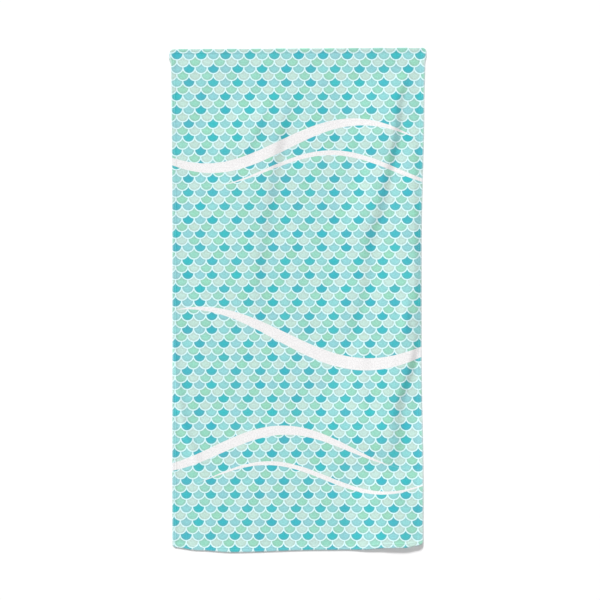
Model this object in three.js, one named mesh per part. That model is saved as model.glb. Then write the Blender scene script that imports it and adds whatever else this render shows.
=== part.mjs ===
// Beach towel laid out face up: one hemmed length of terry cloth, with the soft creases it lies in.
// Millimetres, +Z up. The origin is on the surface that it lies on, under the towel's middle.
// +Y points to the towel's head end and +X to its right side, seen from above.
import * as THREE from "three";

// The cut cloth with its hems sewn, and how thick it is in the field and along the turned hem.
const WIDTH = 762;
const LENGTH = 1524;
const CLOTH_THICK = 2.4;
const HEM_THICK = 3;
const HEM_WIDTH = 12;
const HEM_STEP = 3;
const CORNER_RADIUS = 14;

const HALF_WIDTH = WIDTH / 2;
const HALF_LENGTH = LENGTH / 2;

// How far each long side stands out from its cut line, from the foot end to the head end.
const SIDE_DRIFT = [
  { y: -748, left: 1, right: -1 },
  { y: -560, left: 1.5, right: -1 },
  { y: -150, left: 1, right: -5.5 },
  { y: 150, left: 1, right: -5.5 },
  { y: 610, left: 3.5, right: 3 },
  { y: 715, left: 5.5, right: 5.5 },
  { y: 748, left: 10, right: 9.5 },
];

// How far each short end stands out from its cut line, from the left side to the right side.
const END_DRIFT = [
  { x: -381, head: 0, foot: -11.5 },
  { x: -300, head: 0.5, foot: -2.2 },
  { x: -200, head: 1, foot: 3.8 },
  { x: 60, head: 2.5, foot: -3.2 },
  { x: 200, head: 3.5, foot: -4.4 },
  { x: 264, head: 4.2, foot: -9.6 },
  { x: 322, head: 4.2, foot: -10.5 },
  { x: 381, head: 4.2, foot: -19.5 },
];

// The creases, from their foot to their head. Each is a ridge: x is its crest, which the cloth
// climbs to over the width rise on its left, and comes down from over the width fall on its right.
// guide marks the three creases that the sheet's columns follow.
const FOLDS = [
  {
    name: "short crease left of the middle",
    guide: false,
    rows: [
      { y: 400, x: -172, height: 0, rise: 220, fall: 28 },
      { y: 465, x: -152, height: 1.8, rise: 220, fall: 28 },
      { y: 540, x: -120, height: 1.8, rise: 210, fall: 26 },
      { y: 640, x: -88, height: 0, rise: 200, fall: 26 },
    ],
  },
  {
    name: "faint crease left of the middle",
    guide: true,
    rows: [
      { y: -170, x: -144, height: 0, rise: 160, fall: 40 },
      { y: 70, x: -136, height: 2.5, rise: 200, fall: 42 },
      { y: 240, x: -114, height: 3.1, rise: 250, fall: 42 },
      { y: 330, x: -98, height: 4.2, rise: 260, fall: 43 },
      { y: 410, x: -86, height: 4.5, rise: 260, fall: 40 },
      { y: 540, x: -56, height: 3.5, rise: 250, fall: 38 },
      { y: 650, x: -38, height: 0, rise: 240, fall: 36 },
    ],
  },
  {
    name: "long crease right of the middle",
    guide: true,
    rows: [
      { y: -190, x: 128, height: 0, rise: 90, fall: 40 },
      { y: -80, x: 150, height: 2, rise: 100, fall: 40 },
      { y: 50, x: 187, height: 2.9, rise: 110, fall: 38 },
      { y: 170, x: 198, height: 3.3, rise: 115, fall: 38 },
      { y: 280, x: 233, height: 5.1, rise: 115, fall: 38 },
      { y: 400, x: 265, height: 5.7, rise: 95, fall: 29 },
      { y: 500, x: 288, height: 7.6, rise: 170, fall: 25 },
      { y: 620, x: 302, height: 4.4, rise: 190, fall: 24 },
      { y: 705, x: 328, height: 0, rise: 160, fall: 24 },
    ],
  },
  {
    name: "low crease under the long one",
    guide: false,
    rows: [
      { y: -400, x: 197, height: 0, rise: 130, fall: 30 },
      { y: -300, x: 195, height: 1.3, rise: 140, fall: 30 },
      { y: -170, x: 194, height: 1.6, rise: 140, fall: 30 },
      { y: -90, x: 197, height: 0, rise: 130, fall: 30 },
    ],
  },
  {
    name: "short crease by the right side",
    guide: false,
    rows: [
      { y: -120, x: 328, height: 0, rise: 30, fall: 20 },
      { y: -85, x: 328, height: 2.5, rise: 30, fall: 20 },
      { y: -30, x: 330, height: 2.5, rise: 30, fall: 20 },
      { y: 30, x: 333, height: 0, rise: 30, fall: 20 },
    ],
  },
  {
    name: "crease down the right side",
    guide: true,
    rows: [
      { y: -530, x: 268, height: 0, rise: 160, fall: 56 },
      { y: -440, x: 273, height: 6.6, rise: 230, fall: 54 },
      { y: -360, x: 282, height: 7.9, rise: 260, fall: 44 },
      { y: -300, x: 297, height: 6.6, rise: 230, fall: 33 },
      { y: -220, x: 327, height: 5.8, rise: 220, fall: 27 },
      { y: -120, x: 348, height: 5.6, rise: 220, fall: 28 },
      { y: 60, x: 352, height: 6.4, rise: 170, fall: 26 },
      { y: 330, x: 351, height: 4.2, rise: 100, fall: 26 },
      { y: 600, x: 352, height: 0, rise: 60, fall: 26 },
    ],
  },
  {
    name: "small crease at the left side",
    guide: false,
    rows: [
      { y: -530, x: -302, height: 0, rise: 16, fall: 30 },
      { y: -460, x: -320, height: 2.6, rise: 16, fall: 32 },
      { y: -370, x: -350, height: 2.7, rise: 14, fall: 26 },
      { y: -180, x: -373, height: 1.4, rise: 8, fall: 20 },
      { y: -30, x: -376, height: 0, rise: 8, fall: 20 },
    ],
  },
];

// The foot hem lifts off the surface towards the right corner, in one low wave.
const HEM_WAVE = {
  fromX: 135,
  fullX: 320,
  height: 9.4,
  edgeShare: 0.88,
  crestIn: 150,
  reach: 440,
};

// Cells of the sheet between its guide lines, counted from the left side to the right side,
// and from the foot hem to the head hem.
const COLUMNS = { hem: 2, hemStep: 1, between: [9, 9, 4, 2], fall: 3 };
const ROWS = { hem: 2, hemStep: 1, field: 50 };
const LEAST_CELL = 4;

const TOWEL_COLOUR = 0xa9dfdc;

// 0 below a, 1 above b, and smooth between them.
function smooth(a, b, value) {
  const s = THREE.MathUtils.clamp((value - a) / (b - a), 0, 1);
  return s * s * (3 - 2 * s);
}

// A column of one of the drift tables, read smoothly at a place along that edge.
function drift(table, along, place, column) {
  if (place <= table[0][along]) return table[0][column];
  for (let i = 1; i < table.length; i++) {
    const before = table[i - 1];
    const after = table[i];
    if (place <= after[along]) {
      const s = smooth(before[along], after[along], place);
      return before[column] + s * (after[column] - before[column]);
    }
  }
  return table[table.length - 1][column];
}

const leftSide = (y) => -HALF_WIDTH - drift(SIDE_DRIFT, "y", y, "left");
const rightSide = (y) => HALF_WIDTH + drift(SIDE_DRIFT, "y", y, "right");

// How far a short end is drawn in where it turns round the corner, at inset x from the side.
function cornerDrop(inset) {
  if (inset >= CORNER_RADIUS) return 0;
  const across = CORNER_RADIUS - Math.max(inset, 0);
  return CORNER_RADIUS - Math.sqrt(CORNER_RADIUS ** 2 - across ** 2);
}

function headEnd(x) {
  const inset = Math.min(x - leftSide(HALF_LENGTH), rightSide(HALF_LENGTH) - x);
  return HALF_LENGTH + drift(END_DRIFT, "x", x, "head") - cornerDrop(inset);
}

function footEnd(x) {
  const inset = Math.min(x - leftSide(-HALF_LENGTH), rightSide(-HALF_LENGTH) - x);
  return -HALF_LENGTH - drift(END_DRIFT, "x", x, "foot") + cornerDrop(inset);
}

// A column of a fold's table at y, on the smooth curve through its rows.
function onCurve(rows, column, y) {
  const last = rows.length - 1;
  if (y <= rows[0].y) return rows[0][column];
  if (y >= rows[last].y) return rows[last][column];
  const i = rows.findIndex((row) => row.y > y);
  const slope = (k) =>
    k === 0 || k === last
      ? 0
      : (rows[k + 1][column] - rows[k - 1][column]) / (rows[k + 1].y - rows[k - 1].y);
  const gap = rows[i].y - rows[i - 1].y;
  const s = (y - rows[i - 1].y) / gap;
  return (
    rows[i - 1][column] * (1 + 2 * s) * (1 - s) ** 2 +
    slope(i - 1) * gap * s * (1 - s) ** 2 +
    rows[i][column] * (3 - 2 * s) * s ** 2 -
    slope(i) * gap * (1 - s) * s ** 2
  );
}

// How high one fold holds the cloth off the surface at a point.
function foldLift(fold, x, y) {
  const height = Math.max(onCurve(fold.rows, "height", y), 0);
  if (height === 0) return 0;
  const crest = onCurve(fold.rows, "x", y);
  const across =
    x < crest
      ? smooth(crest - onCurve(fold.rows, "rise", y), crest, x)
      : 1 - smooth(crest, crest + onCurve(fold.rows, "fall", y), x);
  return height * across;
}

// How high the wave in the foot hem holds the cloth at a point.
function hemWaveLift(x, y) {
  const { fromX, fullX, height, edgeShare, crestIn, reach } = HEM_WAVE;
  const across = smooth(fromX, fullX, x);
  const inset = y - footEnd(x);
  const along =
    inset < crestIn
      ? edgeShare + (1 - edgeShare) * smooth(0, crestIn, inset)
      : 1 - smooth(crestIn, reach, inset);
  return height * across * along;
}

function underside(x, y) {
  return FOLDS.reduce((z, fold) => z + foldLift(fold, x, y), hemWaveLift(x, y));
}

// The hem is folded under, so the cloth is thicker within a hem's width of every edge.
function thickness(x, y) {
  const inset = Math.min(
    x - leftSide(y),
    rightSide(y) - x,
    y - footEnd(x),
    headEnd(x) - y,
  );
  const field = smooth(HEM_WIDTH, HEM_WIDTH + HEM_STEP, inset);
  return HEM_THICK + field * (CLOTH_THICK - HEM_THICK);
}

// Values at equal steps from a, not counting a, up to and with b.
function steps(a, b, count) {
  return Array.from({ length: count }, (_, i) => a + ((b - a) * (i + 1)) / count);
}

// The x of every column at height y: the columns keep to the hems and to the guiding folds.
function columnsAt(y) {
  const left = leftSide(y);
  const right = rightSide(y);
  const guides = [{ x: left + HEM_WIDTH + HEM_STEP, cells: COLUMNS.hemStep }];
  FOLDS.filter((fold) => fold.guide).forEach((fold, i) => {
    const crest = onCurve(fold.rows, "x", y);
    guides.push({ x: crest, cells: COLUMNS.between[i] });
    guides.push({ x: crest + onCurve(fold.rows, "fall", y), cells: COLUMNS.fall });
  });
  guides.push({
    x: right - HEM_WIDTH - HEM_STEP,
    cells: COLUMNS.between[COLUMNS.between.length - 1],
  });
  for (let i = guides.length - 2; i >= 0; i--) {
    const room = LEAST_CELL * guides[i + 1].cells;
    guides[i].x = Math.min(guides[i].x, guides[i + 1].x - room);
  }
  const xs = [left, ...steps(left, left + HEM_WIDTH, COLUMNS.hem)];
  for (const guide of guides) {
    xs.push(...steps(xs[xs.length - 1], guide.x, guide.cells));
  }
  xs.push(right - HEM_WIDTH);
  xs.push(...steps(right - HEM_WIDTH, right, COLUMNS.hem));
  return xs;
}

// How far along the cloth each row lies, from the foot end to the head end.
function rowsAlong() {
  const hemIn = HEM_WIDTH + HEM_STEP;
  return [
    0,
    ...steps(0, HEM_WIDTH, ROWS.hem),
    ...steps(HEM_WIDTH, hemIn, ROWS.hemStep),
    ...steps(hemIn, LENGTH - hemIn, ROWS.field),
    ...steps(LENGTH - hemIn, LENGTH - HEM_WIDTH, ROWS.hemStep),
    ...steps(LENGTH - HEM_WIDTH, LENGTH, ROWS.hem),
  ];
}

// The cloth as one closed sheet: its upper face, its underside, and the edge that joins them.
function towelGeometry() {
  const rows = rowsAlong();
  const upper = [];
  const under = [];
  for (const along of rows) {
    for (const x of columnsAt(along - HALF_LENGTH)) {
      const foot = footEnd(x);
      const y = foot + (along / LENGTH) * (headEnd(x) - foot);
      const z = underside(x, y);
      upper.push(x, y, z + thickness(x, y));
      under.push(x, y, z);
    }
  }
  const across = upper.length / 3 / rows.length;
  const count = across * rows.length;
  const faces = [];
  for (let row = 1; row < rows.length; row++) {
    for (let column = 1; column < across; column++) {
      const a = (row - 1) * across + column - 1;
      const b = a + 1;
      const c = b + across;
      const d = a + across;
      faces.push(a, b, c, a, c, d);
      faces.push(count + a, count + c, count + b, count + a, count + d, count + c);
    }
  }
  // The edge, once round: a and b are neighbours on the upper face's rim.
  const wall = (a, b) => faces.push(a, count + a, count + b, a, count + b, b);
  for (let column = 1; column < across; column++) {
    wall(column - 1, column);
    wall(count - column, count - column - 1);
  }
  for (let row = 1; row < rows.length; row++) {
    wall(row * across - 1, (row + 1) * across - 1);
    wall(row * across, (row - 1) * across);
  }
  const geometry = new THREE.BufferGeometry();
  geometry.setAttribute(
    "position",
    new THREE.Float32BufferAttribute([...upper, ...under], 3),
  );
  geometry.setIndex(faces);
  geometry.computeVertexNormals();
  return geometry;
}

const towel = new THREE.Mesh(
  towelGeometry(),
  new THREE.MeshStandardMaterial({
    color: TOWEL_COLOUR,
    roughness: 0.95,
    metalness: 0,
    flatShading: true,
  }),
);
towel.name = "towel";

const beachTowel = new THREE.Group();
beachTowel.add(towel);

export default beachTowel;
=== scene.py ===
import bpy
import numpy as np
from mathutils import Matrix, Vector, noise


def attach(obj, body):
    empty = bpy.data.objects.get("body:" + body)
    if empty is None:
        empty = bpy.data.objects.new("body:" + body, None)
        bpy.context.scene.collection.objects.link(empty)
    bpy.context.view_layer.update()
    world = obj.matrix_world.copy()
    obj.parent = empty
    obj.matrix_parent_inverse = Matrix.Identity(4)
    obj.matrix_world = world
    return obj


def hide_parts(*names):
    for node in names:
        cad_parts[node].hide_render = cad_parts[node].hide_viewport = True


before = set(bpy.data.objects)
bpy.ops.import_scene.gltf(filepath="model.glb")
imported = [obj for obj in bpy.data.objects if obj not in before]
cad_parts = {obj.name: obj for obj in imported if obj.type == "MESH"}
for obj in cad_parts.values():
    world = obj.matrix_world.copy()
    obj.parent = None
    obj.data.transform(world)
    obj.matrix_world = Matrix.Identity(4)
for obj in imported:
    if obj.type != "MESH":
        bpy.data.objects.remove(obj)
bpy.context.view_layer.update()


# The towel's outline: one length of cotton terry, cut to size and hemmed, lying on a flat surface.
# Its head corners pull out a little, its foot hem waves, and all its corners are small and round.
WIDTH = 0.762
LENGTH = 1.524
HALF_WIDTH = WIDTH / 2
HALF_LENGTH = LENGTH / 2
CORNER_RADIUS = 0.014

# How far each long side stands out from its cut line, from the foot end to the head end.
SIDE_DRIFT = {
    "y": (-0.748, -0.560, -0.150, 0.150, 0.610, 0.715, 0.748),
    "left": (0.0010, 0.0015, 0.0010, 0.0010, 0.0035, 0.0055, 0.0100),
    "right": (-0.0010, -0.0010, -0.0055, -0.0055, 0.0030, 0.0055, 0.0095),
}

# How far each short end stands out from its cut line, from the left side to the right side.
END_DRIFT = {
    "x": (-0.381, -0.300, -0.200, 0.060, 0.200, 0.264, 0.322, 0.381),
    "head": (0.0000, 0.0005, 0.0010, 0.0025, 0.0035, 0.0042, 0.0042, 0.0042),
    "foot": (-0.0115, -0.0022, 0.0038, -0.0032, -0.0044, -0.0096, -0.0105, -0.0195),
}


def smooth(a, b, value):
    """0 below a, 1 above b, and smooth between them."""
    s = np.clip((value - a) / (b - a), 0.0, 1.0)
    return s * s * (3.0 - 2.0 * s)


def drift(table, along, place, column):
    """A column of one of the drift tables, read smoothly at places along that edge."""
    at, out = table[along], table[column]
    found = np.full(np.shape(place), out[0], float)
    for i in range(1, len(at)):
        found = found + (out[i] - out[i - 1]) * smooth(at[i - 1], at[i], place)
    return found


def left_side(y):
    """Where the left side runs, from foot to head."""
    return -HALF_WIDTH - drift(SIDE_DRIFT, "y", y, "left")


def right_side(y):
    """Where the right side runs, from foot to head."""
    return HALF_WIDTH + drift(SIDE_DRIFT, "y", y, "right")


def corner_drop(inset):
    """How far a short end is drawn in at a corner, at that inset from the side."""
    across = CORNER_RADIUS - np.clip(inset, 0.0, CORNER_RADIUS)
    return CORNER_RADIUS - np.sqrt(CORNER_RADIUS**2 - across**2)


def head_end(x):
    """Where the head end runs, with its round corners."""
    inset = np.minimum(x - left_side(HALF_LENGTH), right_side(HALF_LENGTH) - x)
    return HALF_LENGTH + drift(END_DRIFT, "x", x, "head") - corner_drop(inset)


def foot_end(x):
    """Where the foot end runs, with its round corners."""
    inset = np.minimum(x - left_side(-HALF_LENGTH), right_side(-HALF_LENGTH) - x)
    return -HALF_LENGTH - drift(END_DRIFT, "x", x, "foot") + corner_drop(inset)


def inset_at(x, y):
    """How far in from the nearest edge of the towel a point is."""
    sides = np.minimum(x - left_side(y), right_side(y) - x)
    ends = np.minimum(y - foot_end(x), head_end(x) - y)
    return np.minimum(sides, ends)


# The creases that the cloth lies in, from their foot to their head. Each is a soft ridge: x is its
# crest, which the cloth climbs to over the width rise on its left, and comes down from over the
# width fall on its right, as it was dragged to the left when it was laid down.
FOLDS = {
    "short crease left of the middle": {
        "y": (0.400, 0.465, 0.540, 0.640),
        "x": (-0.172, -0.152, -0.120, -0.088),
        "height": (0.0, 0.0018, 0.0018, 0.0),
        "rise": (0.220, 0.220, 0.210, 0.200),
        "fall": (0.028, 0.028, 0.026, 0.026),
    },
    "faint crease left of the middle": {
        "y": (-0.170, 0.070, 0.240, 0.330, 0.410, 0.540, 0.650),
        "x": (-0.144, -0.136, -0.114, -0.098, -0.086, -0.056, -0.038),
        "height": (0.0, 0.0025, 0.0031, 0.0042, 0.0045, 0.0035, 0.0),
        "rise": (0.160, 0.200, 0.250, 0.260, 0.260, 0.250, 0.240),
        "fall": (0.040, 0.042, 0.042, 0.043, 0.040, 0.038, 0.036),
    },
    "long crease right of the middle": {
        "y": (-0.190, -0.080, 0.050, 0.170, 0.280, 0.400, 0.500, 0.620, 0.705),
        "x": (0.128, 0.150, 0.187, 0.198, 0.233, 0.265, 0.288, 0.302, 0.328),
        "height": (0.0, 0.0020, 0.0029, 0.0033, 0.0051, 0.0057, 0.0076, 0.0044, 0.0),
        "rise": (0.090, 0.100, 0.110, 0.115, 0.115, 0.095, 0.170, 0.190, 0.160),
        "fall": (0.040, 0.040, 0.038, 0.038, 0.038, 0.029, 0.025, 0.024, 0.024),
    },
    "low crease under the long one": {
        "y": (-0.400, -0.300, -0.170, -0.090),
        "x": (0.197, 0.195, 0.194, 0.197),
        "height": (0.0, 0.0013, 0.0016, 0.0),
        "rise": (0.130, 0.140, 0.140, 0.130),
        "fall": (0.030, 0.030, 0.030, 0.030),
    },
    "short crease by the right side": {
        "y": (-0.120, -0.085, -0.030, 0.030),
        "x": (0.328, 0.328, 0.330, 0.333),
        "height": (0.0, 0.0025, 0.0025, 0.0),
        "rise": (0.030, 0.030, 0.030, 0.030),
        "fall": (0.020, 0.020, 0.020, 0.020),
    },
    "crease down the right side": {
        "y": (-0.530, -0.440, -0.360, -0.300, -0.220, -0.120, 0.060, 0.330, 0.600),
        "x": (0.268, 0.273, 0.282, 0.297, 0.327, 0.348, 0.352, 0.351, 0.352),
        "height": (0.0, 0.0066, 0.0079, 0.0066, 0.0058, 0.0056, 0.0064, 0.0042, 0.0),
        "rise": (0.160, 0.230, 0.260, 0.230, 0.220, 0.220, 0.170, 0.100, 0.060),
        "fall": (0.056, 0.054, 0.044, 0.033, 0.027, 0.028, 0.026, 0.026, 0.026),
    },
    "small crease at the left side": {
        "y": (-0.530, -0.460, -0.370, -0.180, -0.030),
        "x": (-0.302, -0.320, -0.350, -0.373, -0.376),
        "height": (0.0, 0.0026, 0.0027, 0.0014, 0.0),
        "rise": (0.016, 0.016, 0.014, 0.008, 0.008),
        "fall": (0.030, 0.032, 0.026, 0.020, 0.020),
    },
}

# The foot hem lifts off the surface towards the right corner, in one low wave.
HEM_WAVE_FROM_X = 0.135
HEM_WAVE_FULL_X = 0.320
HEM_WAVE_HEIGHT = 0.0094
HEM_WAVE_EDGE_SHARE = 0.88
HEM_WAVE_CREST_IN = 0.150
HEM_WAVE_REACH = 0.440


def on_curve(fold, column, y):
    """A column of a crease's table at y, on the smooth curve through its values."""
    at, value = np.array(fold["y"]), np.array(fold[column])
    slope = np.zeros(len(at))
    slope[1:-1] = (value[2:] - value[:-2]) / (at[2:] - at[:-2])
    y = np.clip(y, at[0], at[-1])
    i = np.clip(np.searchsorted(at, y, side="right"), 1, len(at) - 1)
    gap = at[i] - at[i - 1]
    s = (y - at[i - 1]) / gap
    return (
        value[i - 1] * (1 + 2 * s) * (1 - s) ** 2
        + slope[i - 1] * gap * s * (1 - s) ** 2
        + value[i] * (3 - 2 * s) * s**2
        - slope[i] * gap * (1 - s) * s**2
    )


def fold_lift(fold, x, y):
    """How high one crease holds the cloth off the surface."""
    aside = x - on_curve(fold, "x", y)
    climb = smooth(-on_curve(fold, "rise", y), 0.0, aside)
    descent = smooth(0.0, on_curve(fold, "fall", y), aside)
    return np.maximum(on_curve(fold, "height", y), 0.0) * (climb - descent)


def hem_wave_lift(x, y):
    """How high the wave in the foot hem holds the cloth off the surface."""
    inset = y - foot_end(x)
    near = HEM_WAVE_EDGE_SHARE + (1.0 - HEM_WAVE_EDGE_SHARE) * smooth(0.0, HEM_WAVE_CREST_IN, inset)
    far = 1.0 - smooth(HEM_WAVE_CREST_IN, HEM_WAVE_REACH, inset)
    across = smooth(HEM_WAVE_FROM_X, HEM_WAVE_FULL_X, x)
    return HEM_WAVE_HEIGHT * across * np.where(inset < HEM_WAVE_CREST_IN, near, far)


def lift(x, y):
    """How high the underside of the cloth is off the surface."""
    return sum(fold_lift(fold, x, y) for fold in FOLDS.values()) + hem_wave_lift(x, y)


# The cloth itself: sheared pile on the face and loops on the back, with a narrow double hem
# turned to the back on all four sides. The hem is a little thicker, and its edge is round.
CLOTH_THICK = 0.0024
HEM_THICK = 0.0030
HEM_WIDTH = 0.012
HEM_STEP = 0.003
SEAM_INSET = 0.0095
SEAM_DIP = 0.00035
SEAM_DIP_WIDTH = 0.0009
PILE_SWELL = 0.00022
PILE_SWELL_LENGTHS = (0.050, 0.120)
PILE_SEED = 4.7
EDGE_INSETS = (
    0.0, 0.0002, 0.0006, 0.0015, 0.0032, 0.0055, 0.0078, 0.0088,
    0.0095, 0.0102, 0.0112, 0.0120, 0.0135, 0.0150, 0.0185, 0.0230,
)
FIELD_COLUMNS = 124
FIELD_ROWS = 248


def across_lines(low, high, count):
    """Shares from 0 to 1 of a span: close together in the hems and even in the field."""
    insets = np.array(EDGE_INSETS) / (high - low)
    field = np.linspace(insets[-1], 1.0 - insets[-1], count + 1)[1:-1]
    return np.concatenate([insets, field, 1.0 - insets[::-1]])


def pile_swell(x, y):
    """The small unevenness of the pile's surface."""
    swell = np.zeros(x.shape)
    for i, length in enumerate(PILE_SWELL_LENGTHS):
        points = zip(x.ravel() / length, y.ravel() / length)
        layer = [noise.noise(Vector((a, b, PILE_SEED + i))) for a, b in points]
        swell += np.array(layer).reshape(x.shape)
    return PILE_SWELL * swell


def face_and_back(x, y):
    """The heights of the cloth's face and back at a point."""
    inset = inset_at(x, y)
    field = smooth(HEM_WIDTH, HEM_WIDTH + HEM_STEP, inset)
    thick = HEM_THICK + field * (CLOTH_THICK - HEM_THICK)
    radius = HEM_THICK / 2
    turned = np.clip(radius - inset, 0.0, radius)
    edge = radius - np.sqrt(radius**2 - turned**2)
    under = lift(x, y)
    dip = SEAM_DIP * np.exp(-(((inset - SEAM_INSET) / SEAM_DIP_WIDTH) ** 2))
    return under + thick - edge - dip, under + edge


column_share = across_lines(-HALF_WIDTH, HALF_WIDTH, FIELD_COLUMNS)
row_share = across_lines(-HALF_LENGTH, HALF_LENGTH, FIELD_ROWS)
plain_y = (row_share[:, None] - 0.5) * LENGTH
left, right = left_side(plain_y), right_side(plain_y)
x = left + (right - left) * column_share[None, :]
foot, head = foot_end(x), head_end(x)
y = foot + (head - foot) * row_share[:, None]
face_z, back_z = face_and_back(x, y)
face_z = face_z + pile_swell(x, y) * smooth(0.0, HEM_WIDTH, inset_at(x, y))
rows, columns = x.shape

# The face and the back share the rim's points, so the cloth is one closed mesh.
face_index = np.arange(rows * columns).reshape(rows, columns)
inner = np.zeros((rows, columns), bool)
inner[1:-1, 1:-1] = True
back_index = face_index.copy()
back_index[inner] = rows * columns + np.arange(inner.sum())
face_points = np.stack([x, y, face_z], axis=-1).reshape(-1, 3)
back_points = np.stack([x[inner], y[inner], back_z[inner]], axis=-1)
towel_points = np.concatenate([face_points, back_points])


def cells(index, up):
    """The four corners of each cell of the grid, in order round it."""
    a, b, c, d = index[:-1, :-1], index[:-1, 1:], index[1:, 1:], index[1:, :-1]
    order = (a, b, c, d) if up else (a, d, c, b)
    return np.stack(order, axis=-1).reshape(-1, 4)


towel_faces = np.concatenate([cells(face_index, True), cells(back_index, False)])
towel_mesh = bpy.data.meshes.new("towel")
towel_mesh.from_pydata(towel_points.tolist(), [], towel_faces.tolist())
towel_mesh.shade_smooth()


def at_corners(value, up):
    """A value of the grid's points at the corners of each cell, in the same order."""
    return value.ravel()[cells(face_index, up)]


# The print runs on round the edge to where the hem ends on the back. cut holds each corner's
# place on the cut cloth, in towel widths and lengths, and past the edges on the turned hem.
turned_x = np.where(x < 0, 2 * left - x, 2 * right - x)
turned_y = np.where(y < 0, 2 * foot - y, 2 * head - y)
side_inset = at_corners(np.minimum(x - left, right - x), False).mean(axis=1, keepdims=True)
end_inset = at_corners(np.minimum(y - foot, head - y), False).mean(axis=1, keepdims=True)
turned_hem = np.minimum(side_inset, end_inset) < HEM_WIDTH + HEM_STEP / 2
on_side_hem = turned_hem & (side_inset <= end_inset)
on_end_hem = turned_hem & (side_inset > end_inset)
back_x = np.where(on_side_hem, at_corners(turned_x, False), at_corners(x, False))
back_y = np.where(on_end_hem, at_corners(turned_y, False), at_corners(y, False))
cut_x = np.concatenate([at_corners(x, True), back_x]).ravel()
cut_y = np.concatenate([at_corners(y, True), back_y]).ravel()
cut = np.stack([cut_x / WIDTH + 0.5, cut_y / LENGTH + 0.5], axis=-1)
cut_map = towel_mesh.uv_layers.new(name="cut")
cut_map.data.foreach_set("uv", cut.astype(np.float32).ravel())
face_slots = np.zeros(len(turned_hem), np.int32)
back_slots = np.where(turned_hem, 0, 1).ravel()
towel_mesh.polygons.foreach_set("material_index", np.concatenate([face_slots, back_slots]))

# The print is mixed towards a pale grey round the hem's outer edge: painted shade of the rounded
# edge, which also pales the print.
SIDE_EDGE_SHADE = 0.55
END_EDGE_SHADE = 0.20
EDGE_SHADE_FULL_TO = 0.0010
EDGE_SHADE_TO = 0.0055
from_side = smooth(EDGE_SHADE_FULL_TO, EDGE_SHADE_TO, np.minimum(x - left, right - x))
from_end = smooth(EDGE_SHADE_FULL_TO, EDGE_SHADE_TO, np.minimum(y - foot, head - y))
edge_shade = np.maximum(SIDE_EDGE_SHADE * (1.0 - from_side), END_EDGE_SHADE * (1.0 - from_end))
edge_shade = np.concatenate([edge_shade.ravel(), edge_shade[inner]]).astype(np.float32)
towel_mesh.attributes.new("edge_shade", "FLOAT", "POINT").data.foreach_set("value", edge_shade)


# The printed face: sheared cotton pile, printed edge to edge with overlapping fish scales in teal,
# aqua, mint and pale mint, each with a pale rim, and over them some long white swells.
SCALE_PITCH = 0.03695
ROW_PITCH = 0.020836
SCALE_RADIUS = 0.452 * SCALE_PITCH
RIM_RADIUS = 0.552 * SCALE_PITCH
CENTRE_ABOVE = 0.1296 * SCALE_PITCH
FIRST_ROW_Y = 0.7423
FIRST_SCALE_X = -0.3671
PRINT_SKEW = 0.0059
MINT_ROW_ASIDE = 1.5

# The teal rows repeat after four: in two of them the first scale is teal, and in the next two it is
# aqua. At each join the print skips two teal rows of its repeat.
REPEAT_ROWS = 4.0
REPEAT_START = 3.0
REPEAT_JOINS = (0, 12)
JOIN_ROWS = 2.0

TEAL = (0.0625, 0.499, 0.559)
AQUA = (0.288, 0.657, 0.673)
MINT = (0.313, 0.689, 0.547)
PALE_MINT = (0.525, 0.753, 0.686)
RIM_WHITE = (0.685, 0.930, 0.945)
SWELL_WHITE = (0.860, 0.855, 0.855)
EDGE_SHADE_GREY = (0.710, 0.775, 0.785)
SCALE_HUES = (0.491, 0.509)
SCALE_SATURATIONS = (0.973, 1.027)
SCALE_VALUES = (0.975, 1.025)
RIM_SOFTNESS = 0.0006
SCALE_EDGE = (0.260, 0.160, 0.160)
SCALE_EDGE_SHARE = 0.12
SCALE_EDGE_FROM = 0.28 * SCALE_PITCH
SCALE_EDGE_TO = 0.36 * SCALE_PITCH
TUCK_FROM = 0.63 * SCALE_PITCH
TUCK_TO = 0.72 * SCALE_PITCH

# The white swells: long tapering lines that roll across the towel from side to side. Each row has a
# swell's middle height, the rise and length of its waves and where in a wave it starts, then its
# greatest width, where that is, and how far it reaches from there before it has tapered away.
SWELLS = (
    {"y": 0.470, "rise": 0.070, "length": 0.900, "start": 0.05,
     "wide": 0.034, "widest_x": -0.10, "reach": 0.46},
    {"y": 0.395, "rise": 0.052, "length": 0.780, "start": 0.12,
     "wide": 0.015, "widest_x": 0.16, "reach": 0.40},
    {"y": -0.110, "rise": 0.085, "length": 1.050, "start": 0.55,
     "wide": 0.038, "widest_x": 0.13, "reach": 0.50},
    {"y": -0.455, "rise": 0.060, "length": 0.820, "start": 0.30,
     "wide": 0.030, "widest_x": -0.16, "reach": 0.44},
    {"y": -0.540, "rise": 0.045, "length": 0.700, "start": 0.38,
     "wide": 0.014, "widest_x": 0.06, "reach": 0.36},
)


def new_finish(name):
    """A new material, with the tree that makes it and the shader that shows it."""
    material = bpy.data.materials.new(name)
    material.use_nodes = True
    return material, material.node_tree, material.node_tree.nodes["Principled BSDF"]


def feed(socket, value):
    """Joins a socket's output to an input, or sets a plain number there."""
    if isinstance(value, (int, float)):
        socket.default_value = value
    else:
        tree.links.new(value, socket)


def reckon(operation, *values):
    """One step of arithmetic in a material."""
    node = tree.nodes.new("ShaderNodeMath")
    node.operation = operation
    for socket, value in zip(node.inputs, values):
        feed(socket, value)
    return node.outputs[0]


def ramp(value, low, high, from_value=0.0, to_value=1.0):
    """from_value where value is under low, to_value over high, and smooth between."""
    node = tree.nodes.new("ShaderNodeMapRange")
    node.interpolation_type = "SMOOTHSTEP"
    for name, number in (
        ("Value", value), ("From Min", low), ("From Max", high),
        ("To Min", from_value), ("To Max", to_value),
    ):
        feed(node.inputs[name], number)
    return node.outputs["Result"]


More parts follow.
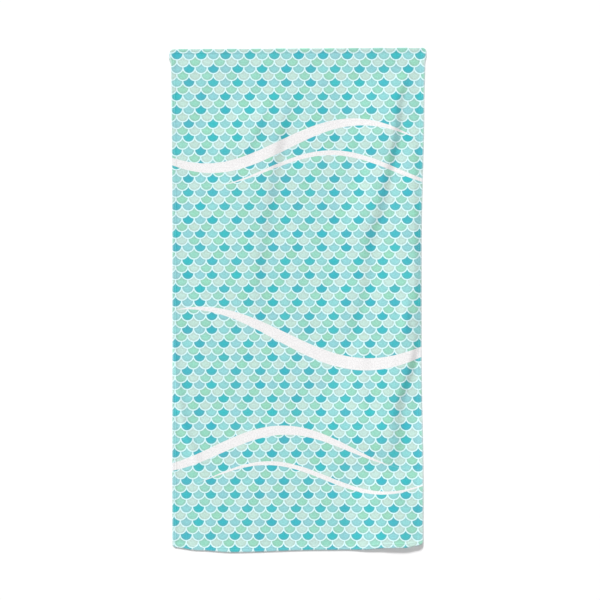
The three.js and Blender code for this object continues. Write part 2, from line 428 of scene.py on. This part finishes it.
def blend(share, under, over):
    """One colour laid over another by a share from 0 to 1. Each is a colour or a socket."""
    node = tree.nodes.new("ShaderNodeMix")
    node.data_type = "RGBA"
    tree.links.new(share, node.inputs["Factor"])
    colour_inputs = [s for s in node.inputs if s.type == "RGBA"]
    for socket, colour in zip(colour_inputs, (under, over)):
        if isinstance(colour, tuple):
            socket.default_value = (*colour, 1.0)
        else:
            tree.links.new(colour, socket)
    return [s for s in node.outputs if s.type == "RGBA"][0]


def cut_place():
    """x and y on the cut cloth, in metres from its middle."""
    uv = tree.nodes.new("ShaderNodeUVMap")
    uv.uv_map = "cut"
    parts = tree.nodes.new("ShaderNodeSeparateXYZ")
    tree.links.new(uv.outputs["UV"], parts.inputs[0])
    across = reckon("MULTIPLY", reckon("SUBTRACT", parts.outputs[0], 0.5), WIDTH)
    along = reckon("MULTIPLY", reckon("SUBTRACT", parts.outputs[1], 0.5), LENGTH)
    return across, along


def scale_row(row, u, w):
    """How far a point is from the nearest scale centre of a row, and which scale that is."""
    teal_row = reckon("FLOOR", reckon("MULTIPLY", row, 0.5))
    odd = reckon("SUBTRACT", row, reckon("MULTIPLY", teal_row, 2.0))
    turn = reckon("ADD", teal_row, REPEAT_START)
    for join in REPEAT_JOINS:
        past = reckon("GREATER_THAN", teal_row, join - 0.5)
        turn = reckon("ADD", turn, reckon("MULTIPLY", past, JOIN_ROWS))
    turn = reckon("MODULO", turn, REPEAT_ROWS)
    shift = reckon("FLOOR", reckon("MULTIPLY", turn, 2.0 / REPEAT_ROWS))
    mint_shift = reckon("SUBTRACT", MINT_ROW_ASIDE, shift)
    first_at = reckon("ADD", shift, reckon("MULTIPLY", odd, reckon("SUBTRACT", mint_shift, shift)))
    from_first = reckon("SUBTRACT", u, first_at)
    number = reckon("ROUND", from_first)
    aside = reckon("MULTIPLY", reckon("SUBTRACT", from_first, number), SCALE_PITCH)
    below = reckon("MULTIPLY", reckon("SUBTRACT", w, row), ROW_PITCH)
    square = reckon("ADD", reckon("MULTIPLY", aside, aside), reckon("MULTIPLY", below, below))
    distance = reckon("SQRT", square)
    second = reckon("PINGPONG", number, 1.0)
    return distance, odd, second, number


def scale_colour(row, odd, second, number):
    """The plain colour of a scale, a little different from scale to scale."""
    teal_row = blend(second, TEAL, AQUA)
    mint_row = blend(second, MINT, PALE_MINT)
    plain = blend(odd, teal_row, mint_row)
    place = tree.nodes.new("ShaderNodeCombineXYZ")
    tree.links.new(number, place.inputs[0])
    tree.links.new(row, place.inputs[1])
    chance = tree.nodes.new("ShaderNodeTexWhiteNoise")
    chance.noise_dimensions = "2D"
    tree.links.new(place.outputs[0], chance.inputs["Vector"])
    varied = tree.nodes.new("ShaderNodeHueSaturation")
    tree.links.new(plain, varied.inputs["Color"])
    chances = tree.nodes.new("ShaderNodeSeparateColor")
    tree.links.new(chance.outputs["Color"], chances.inputs[0])
    feed(varied.inputs["Hue"], ramp(chance.outputs["Value"], 0.0, 1.0, *SCALE_HUES))
    feed(varied.inputs["Saturation"], ramp(chances.outputs[1], 0.0, 1.0, *SCALE_SATURATIONS))
    feed(varied.inputs["Value"], ramp(chances.outputs[2], 0.0, 1.0, *SCALE_VALUES))
    return varied.outputs["Color"]


printed_pile, tree, shader = new_finish("printed_pile")
across, along = cut_place()
below_first_row = reckon("SUBTRACT", FIRST_ROW_Y, along)
leaned = reckon("ADD", across, reckon("MULTIPLY", below_first_row, PRINT_SKEW))
u = reckon("DIVIDE", reckon("SUBTRACT", leaned, FIRST_SCALE_X), SCALE_PITCH)
w = reckon("DIVIDE", reckon("SUBTRACT", FIRST_ROW_Y + CENTRE_ABOVE, along), ROW_PITCH)

# The row whose centres are just above a point lies over the row below it.
over_row = reckon("FLOOR", w)
under_row = reckon("ADD", over_row, 1.0)
over_distance, *over_kind = scale_row(over_row, u, w)
under_distance, *under_kind = scale_row(under_row, u, w)
over_scale = scale_colour(over_row, *over_kind)
under_scale = scale_colour(under_row, *under_kind)


def outside(distance, radius):
    """0 inside a circle and 1 outside it, with the soft edge of a print on pile."""
    return ramp(distance, radius - RIM_SOFTNESS, radius + RIM_SOFTNESS)


def rimmed(scale, distance):
    """A scale, a little deeper along its edge, inside its pale rim."""
    edge_share = ramp(distance, SCALE_EDGE_FROM, SCALE_EDGE_TO, 0.0, SCALE_EDGE_SHARE)
    edged = blend(edge_share, scale, SCALE_EDGE)
    return blend(outside(distance, SCALE_RADIUS), edged, RIM_WHITE)


over_rimmed = rimmed(over_scale, over_distance)
under_rimmed = rimmed(under_scale, under_distance)
tucked_share = ramp(over_distance, TUCK_FROM, TUCK_TO, SCALE_EDGE_SHARE, 0.0)
under_tucked = blend(tucked_share, under_rimmed, SCALE_EDGE)
scales = blend(outside(over_distance, RIM_RADIUS), over_rimmed, under_tucked)


def swell_share(swell):
    """1 on a white swell and 0 beside it."""
    radians_a_metre = 2 * np.pi / swell["length"]
    from_start = reckon("ADD", across, swell["start"] * swell["length"])
    turn = reckon("MULTIPLY", from_start, radians_a_metre)
    middle = reckon("ADD", swell["y"], reckon("MULTIPLY", reckon("SINE", turn), swell["rise"]))
    slope = reckon("MULTIPLY", reckon("COSINE", turn), swell["rise"] * radians_a_metre)
    stretch = reckon("SQRT", reckon("ADD", 1.0, reckon("MULTIPLY", slope, slope)))
    away = reckon("DIVIDE", reckon("ABSOLUTE", reckon("SUBTRACT", along, middle)), stretch)
    aside = reckon("DIVIDE", reckon("SUBTRACT", across, swell["widest_x"]), swell["reach"])
    taper = reckon("MAXIMUM", reckon("SUBTRACT", 1.0, reckon("MULTIPLY", aside, aside)), 0.0)
    half_width = reckon("MULTIPLY", taper, swell["wide"] / 2)
    return ramp(reckon("SUBTRACT", away, half_width), -RIM_SOFTNESS, RIM_SOFTNESS, 1.0, 0.0)


printed = scales
for swell in SWELLS:
    printed = blend(swell_share(swell), printed, SWELL_WHITE)
edge_shade_attribute = tree.nodes.new("ShaderNodeAttribute")
edge_shade_attribute.attribute_name = "edge_shade"
# Painted shade of the hem's rounded edge: the print mixed towards a pale grey there, more on the
# sides than at the ends.
printed = blend(edge_shade_attribute.outputs["Fac"], printed, EDGE_SHADE_GREY)

# The pile: tufts about a millimetre across, which lie a little this way and that in patches.
# The nap patches are painted a little lighter and darker: painted sheen off pile that lies
# different ways. The tufts and clumps vary in tone at random.
TUFT_SIZE = 0.0011
TUFT_GRAIN = (0.25, 0.75)
TUFT_TONES = (0.94, 1.04)
TUFT_DEPTH = 0.0005
CLUMP_SIZE = 0.0042
CLUMP_GRAIN = (0.3, 0.7)
CLUMP_TONES = (0.92, 1.08)
CLUMP_HEIGHT = 0.7
NAP_PATCH = 0.016
NAP_GRAIN = (0.3, 0.7)
NAP_SHEEN_TONES = (0.985, 1.015)
FINE_DETAIL = 2.0
NAP_DETAIL = 3.0
EVEN_GRAIN = 0.5
ROUGH_GRAIN = 0.6
PILE_RELIEF = 0.6
PILE_FINISH = {
    "Roughness": 0.92,
    "Specular IOR Level": 0.15,
    "Sheen Weight": 0.12,
    "Sheen Roughness": 0.45,
}


def speckle(size, detail, roughness=EVEN_GRAIN):
    """Noise with grains of that size, in metres on the cut cloth."""
    place = tree.nodes.new("ShaderNodeCombineXYZ")
    tree.links.new(across, place.inputs[0])
    tree.links.new(along, place.inputs[1])
    grain = tree.nodes.new("ShaderNodeTexNoise")
    grain.inputs["Scale"].default_value = 1.0 / size
    grain.inputs["Detail"].default_value = detail
    grain.inputs["Roughness"].default_value = roughness
    tree.links.new(place.outputs[0], grain.inputs["Vector"])
    return grain.outputs[0]


def show_colour(colour, tone):
    """Gives a finish its colour, made lighter and darker by a tone around 1."""
    toned = tree.nodes.new("ShaderNodeVectorMath")
    toned.operation = "SCALE"
    if isinstance(colour, tuple):
        toned.inputs[0].default_value = colour
    else:
        tree.links.new(colour, toned.inputs[0])
    tree.links.new(tone, toned.inputs["Scale"])
    tree.links.new(toned.outputs[0], shader.inputs["Base Color"])


def show_relief(height, depth, strength):
    """Gives a finish its fine relief, in which a height of 1 is that deep in metres."""
    relief = tree.nodes.new("ShaderNodeBump")
    relief.inputs["Distance"].default_value = depth
    relief.inputs["Strength"].default_value = strength
    tree.links.new(height, relief.inputs["Height"])
    tree.links.new(relief.outputs[0], shader.inputs["Normal"])


def show_finish(finish):
    """Sets a finish's plain values, such as how rough and how glossy it is."""
    for name, number in finish.items():
        shader.inputs[name].default_value = number


tufts = speckle(TUFT_SIZE, FINE_DETAIL)
nap = speckle(NAP_PATCH, NAP_DETAIL, ROUGH_GRAIN)
clumps = speckle(CLUMP_SIZE, FINE_DETAIL, ROUGH_GRAIN)
# Painted sheen: the nap patches a little lighter and darker, as pile lying different ways catches
# the light.
nap_sheen_tone = ramp(nap, *NAP_GRAIN, *NAP_SHEEN_TONES)
tuft_tone = ramp(tufts, *TUFT_GRAIN, *TUFT_TONES)
clump_tone = ramp(clumps, *CLUMP_GRAIN, *CLUMP_TONES)
show_colour(printed, reckon("MULTIPLY", reckon("MULTIPLY", nap_sheen_tone, tuft_tone), clump_tone))
pile_height = reckon("ADD", tufts, reckon("MULTIPLY", clumps, CLUMP_HEIGHT))
show_relief(pile_height, TUFT_DEPTH, PILE_RELIEF)
show_finish(PILE_FINISH)
towel_mesh.materials.append(printed_pile)


# The back of the cloth: the uncut white loops of the terry, which the print doesn't reach. The
# loops stand in rows across the towel, about two millimetres apart.
LOOP_PITCH = 0.0021
LOOP_DEPTH = 0.0012
LOOP_RELIEF = 0.8
LOOP_WANDER = 2.2 * LOOP_PITCH
LOOP_WANDER_PATCH = 0.006
LOOP_ROUND = 0.5
LOOP_FUZZ_SIZE = 0.0012
LOOP_GRAIN = (0.1, 0.9)
LOOP_GAP_SHADE_TONES = (0.86, 1.0)
LOOP_WHITE = (0.830, 0.825, 0.805)
LOOP_FINISH = {
    "Roughness": 0.95,
    "Specular IOR Level": 0.1,
    "Sheen Weight": 0.15,
    "Sheen Roughness": 0.5,
}


def loop_wave(place):
    """From -1 between two loops to 1 on top of one, along or across the rows."""
    return reckon("SINE", reckon("MULTIPLY", place, 2 * np.pi / LOOP_PITCH))


loop_pile, tree, shader = new_finish("loop_pile")
across, along = cut_place()
unsteady = speckle(LOOP_WANDER_PATCH, FINE_DETAIL)
wander = reckon("MULTIPLY", reckon("SUBTRACT", unsteady, 0.5), LOOP_WANDER)
row_wave = loop_wave(reckon("ADD", along, wander))
stitch_wave = loop_wave(reckon("SUBTRACT", across, wander))
fuzz = speckle(LOOP_FUZZ_SIZE, FINE_DETAIL)
loops = reckon("MULTIPLY_ADD", reckon("MULTIPLY", row_wave, stitch_wave), LOOP_ROUND, fuzz)
# The gaps between the loops are painted darker, as shade, over a random fuzz in tone.
show_colour(LOOP_WHITE, ramp(loops, *LOOP_GRAIN, *LOOP_GAP_SHADE_TONES))
show_relief(loops, LOOP_DEPTH, LOOP_RELIEF)
show_finish(LOOP_FINISH)
towel_mesh.materials.append(loop_pile)

towel = bpy.data.objects.new("beach_towel", towel_mesh)
bpy.context.scene.collection.objects.link(towel)
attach(towel, "root")
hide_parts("towel")


# The hem stitching: one row of lockstitch all round, in pale blue-green cotton thread, that holds
# the turned hem down. It sinks a little into the pile, and shows on the face and on the back.
STITCH_PITCH = 0.0034
STITCH_LENGTH = 0.0028
THREAD_RADIUS = 0.00024
THREAD_SIDES = 5
THREAD_STEPS = 4
STITCH_SINK = 0.0003
STITCH_ARCH = 2.2 * THREAD_RADIUS
STITCH_FULLNESS = 0.5
BACK_ARCH_SHARE = 0.6
TWIST_SCALE = 1800.0
TWIST_SHADE_TONES = (0.9, 1.0)
THREAD_COLOUR = (0.480, 0.740, 0.740)
THREAD_FINISH = {"Roughness": 0.6, "Specular IOR Level": 0.3}


def seam_places():
    """The middle of each stitch, and the way that it runs, round the four hems."""
    places = []
    low, high = -HALF_LENGTH + SEAM_INSET, HALF_LENGTH - SEAM_INSET
    upright = np.arange(low, high, STITCH_PITCH)
    for side, inwards in ((left_side, 1.0), (right_side, -1.0)):
        at_x = side(upright) + inwards * SEAM_INSET
        keep = (upright > foot_end(at_x) + SEAM_INSET) & (upright < head_end(at_x) - SEAM_INSET)
        places += [(a, b, 0.0, 1.0) for a, b in zip(at_x[keep], upright[keep])]
    for end, inwards in ((foot_end, 1.0), (head_end, -1.0)):
        from_x = left_side(inwards * -HALF_LENGTH) + SEAM_INSET
        to_x = right_side(inwards * -HALF_LENGTH) - SEAM_INSET
        level = np.arange(from_x, to_x, STITCH_PITCH)
        run = np.gradient(end(level), level)
        for a, b, rise in zip(level, end(level) + inwards * SEAM_INSET, run):
            length = np.hypot(1.0, rise)
            places.append((a, b, 1.0 / length, rise / length))
    return np.array(places)


stitch = seam_places()
middle, way = stitch[:, None, :2], stitch[:, None, 2:]
share = np.linspace(-0.5, 0.5, THREAD_STEPS)
line = middle + way * share[None, :, None] * STITCH_LENGTH
face_height, back_height = face_and_back(line[..., 0], line[..., 1])
arch = np.cos(share * np.pi)[None, :] ** STITCH_FULLNESS * STITCH_ARCH
on_face = face_height - STITCH_SINK + arch
on_back = back_height + STITCH_SINK - BACK_ARCH_SHARE * arch

# Round each step of a stitch stands a ring of points, in the plane across the way that it runs.
turn = np.arange(THREAD_SIDES) * 2 * np.pi / THREAD_SIDES
aside = np.stack([-way[..., 1], way[..., 0], np.zeros(way.shape[:-1])], axis=-1)
sideways = THREAD_RADIUS * np.cos(turn)[:, None] * aside[:, :, None, :]
upwards = THREAD_RADIUS * np.sin(turn)[:, None] * np.array([0.0, 0.0, 1.0])
thread_points, thread_faces = [], []
for height in (on_face, on_back):
    centre = np.concatenate([line, height[..., None]], axis=-1)
    ring = centre[:, :, None, :] + sideways + upwards
    start = sum(len(points) for points in thread_points)
    index = start + np.arange(ring[..., 0].size).reshape(ring.shape[:3])
    beside = np.roll(index, -1, axis=2)
    order = (index[:, :-1], beside[:, :-1], beside[:, 1:], index[:, 1:])
    sides = np.stack(order, axis=-1).reshape(-1, 4)
    thread_points.append(ring.reshape(-1, 3))
    thread_faces += sides.tolist() + index[:, 0, ::-1].tolist() + index[:, -1].tolist()

thread_mesh = bpy.data.meshes.new("hem_stitches")
thread_mesh.from_pydata(np.concatenate(thread_points).tolist(), [], thread_faces)
thread_mesh.shade_smooth()
thread, tree, shader = new_finish("hem_thread")
place = tree.nodes.new("ShaderNodeTexCoord")
twist_shade = tree.nodes.new("ShaderNodeTexWave")
twist_shade.bands_direction = "DIAGONAL"
twist_shade.inputs["Scale"].default_value = TWIST_SCALE
tree.links.new(place.outputs["Object"], twist_shade.inputs["Vector"])
# The thread's twist is painted as darker diagonal bands: painted shade in the grooves of the twist.
show_colour(THREAD_COLOUR, ramp(twist_shade.outputs["Fac"], 0.0, 1.0, *TWIST_SHADE_TONES))
show_finish(THREAD_FINISH)
thread_mesh.materials.append(thread)
stitches = bpy.data.objects.new("hem_stitches", thread_mesh)
bpy.context.scene.collection.objects.link(stitches)
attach(stitches, "root")


# The surface that the towel lies on: a plain studio floor, painted matt white. It is wide enough to
# fill a low view, and just under the cloth and the stitches on its back.
FLOOR_SIZE = 160.0
FLOOR_Z = -0.0003
FLOOR_WHITE = (0.955, 0.955, 0.955)
FLOOR_CORNERS = ((-1, -1), (1, -1), (1, 1), (-1, 1))
FLOOR_FINISH = {"Base Color": (*FLOOR_WHITE, 1.0), "Roughness": 0.9}

half_floor = FLOOR_SIZE / 2
floor_points = [(side * half_floor, end * half_floor, FLOOR_Z) for side, end in FLOOR_CORNERS]
floor_mesh = bpy.data.meshes.new("surface")
floor_mesh.from_pydata(floor_points, [], [(0, 1, 2, 3)])
paint, tree, shader = new_finish("floor_paint")
show_finish(FLOOR_FINISH)
floor_mesh.materials.append(paint)
surface = bpy.data.objects.new("surface", floor_mesh)
bpy.context.scene.collection.objects.link(surface)


# The studio light: an even light from all round, a low soft fill from the left, which casts no
# shadow, and a key light from beyond the head end, which does. The shares are of the light that
# falls on the surface.
AMBIENT = 0.29
AMBIENT_COLOUR = (1.0, 0.965, 0.975)
LEFT_SHARE = 0.17
LEFT_FROM = (-0.97, 0.05, 0.24)
LEFT_ANGLE = 0.30
KEY_SHARE = 0.54
KEY_FROM = (-0.10, 0.99, 0.60)
KEY_ANGLE = 0.20
BRIGHTNESS = 1.08

world = bpy.data.worlds.new("studio")
world.use_nodes = True
background = world.node_tree.nodes["Background"]
background.inputs["Color"].default_value = (*AMBIENT_COLOUR, 1.0)
background.inputs["Strength"].default_value = AMBIENT * BRIGHTNESS
bpy.context.scene.world = world
for name, share, come_from, angle, casts_shadow in (
    ("left_light", LEFT_SHARE, LEFT_FROM, LEFT_ANGLE, False),
    ("key_light", KEY_SHARE, KEY_FROM, KEY_ANGLE, True),
):
    towards = Vector(come_from).normalized()
    sun = bpy.data.lights.new(name, "SUN")
    sun.energy = np.pi * share * BRIGHTNESS / towards.z
    sun.angle = angle
    sun.use_shadow = casts_shadow
    light = bpy.data.objects.new(name, sun)
    light.rotation_euler = towards.to_track_quat("Z", "Y").to_euler()
    bpy.context.scene.collection.objects.link(light)


# The camera: straight above the towel, with a long lens and the head end up. The towel is as wide
# in the picture as in the photograph, and its middle stands at the same place.
PICTURE = 600
TOWEL_PIXELS = 251.0
MIDDLE_PIXEL = (297.9, 300.0)
SENSOR = 36.0
LENS = 100.0

metres_a_pixel = WIDTH / TOWEL_PIXELS
seen = PICTURE * metres_a_pixel
aim_x = (PICTURE / 2 - MIDDLE_PIXEL[0]) * metres_a_pixel
aim_y = (MIDDLE_PIXEL[1] - PICTURE / 2) * metres_a_pixel
lens = bpy.data.cameras.new("camera")
lens.sensor_width = SENSOR
lens.lens = LENS
camera = bpy.data.objects.new("camera", lens)
camera.location = (aim_x, aim_y, seen * LENS / SENSOR)
bpy.context.scene.collection.objects.link(camera)
bpy.context.scene.camera = camera
bpy.context.scene.view_settings.view_transform = "Standard"


def plain(box):
    return [[round(float(number), 6) for number in corner] for corner in box]
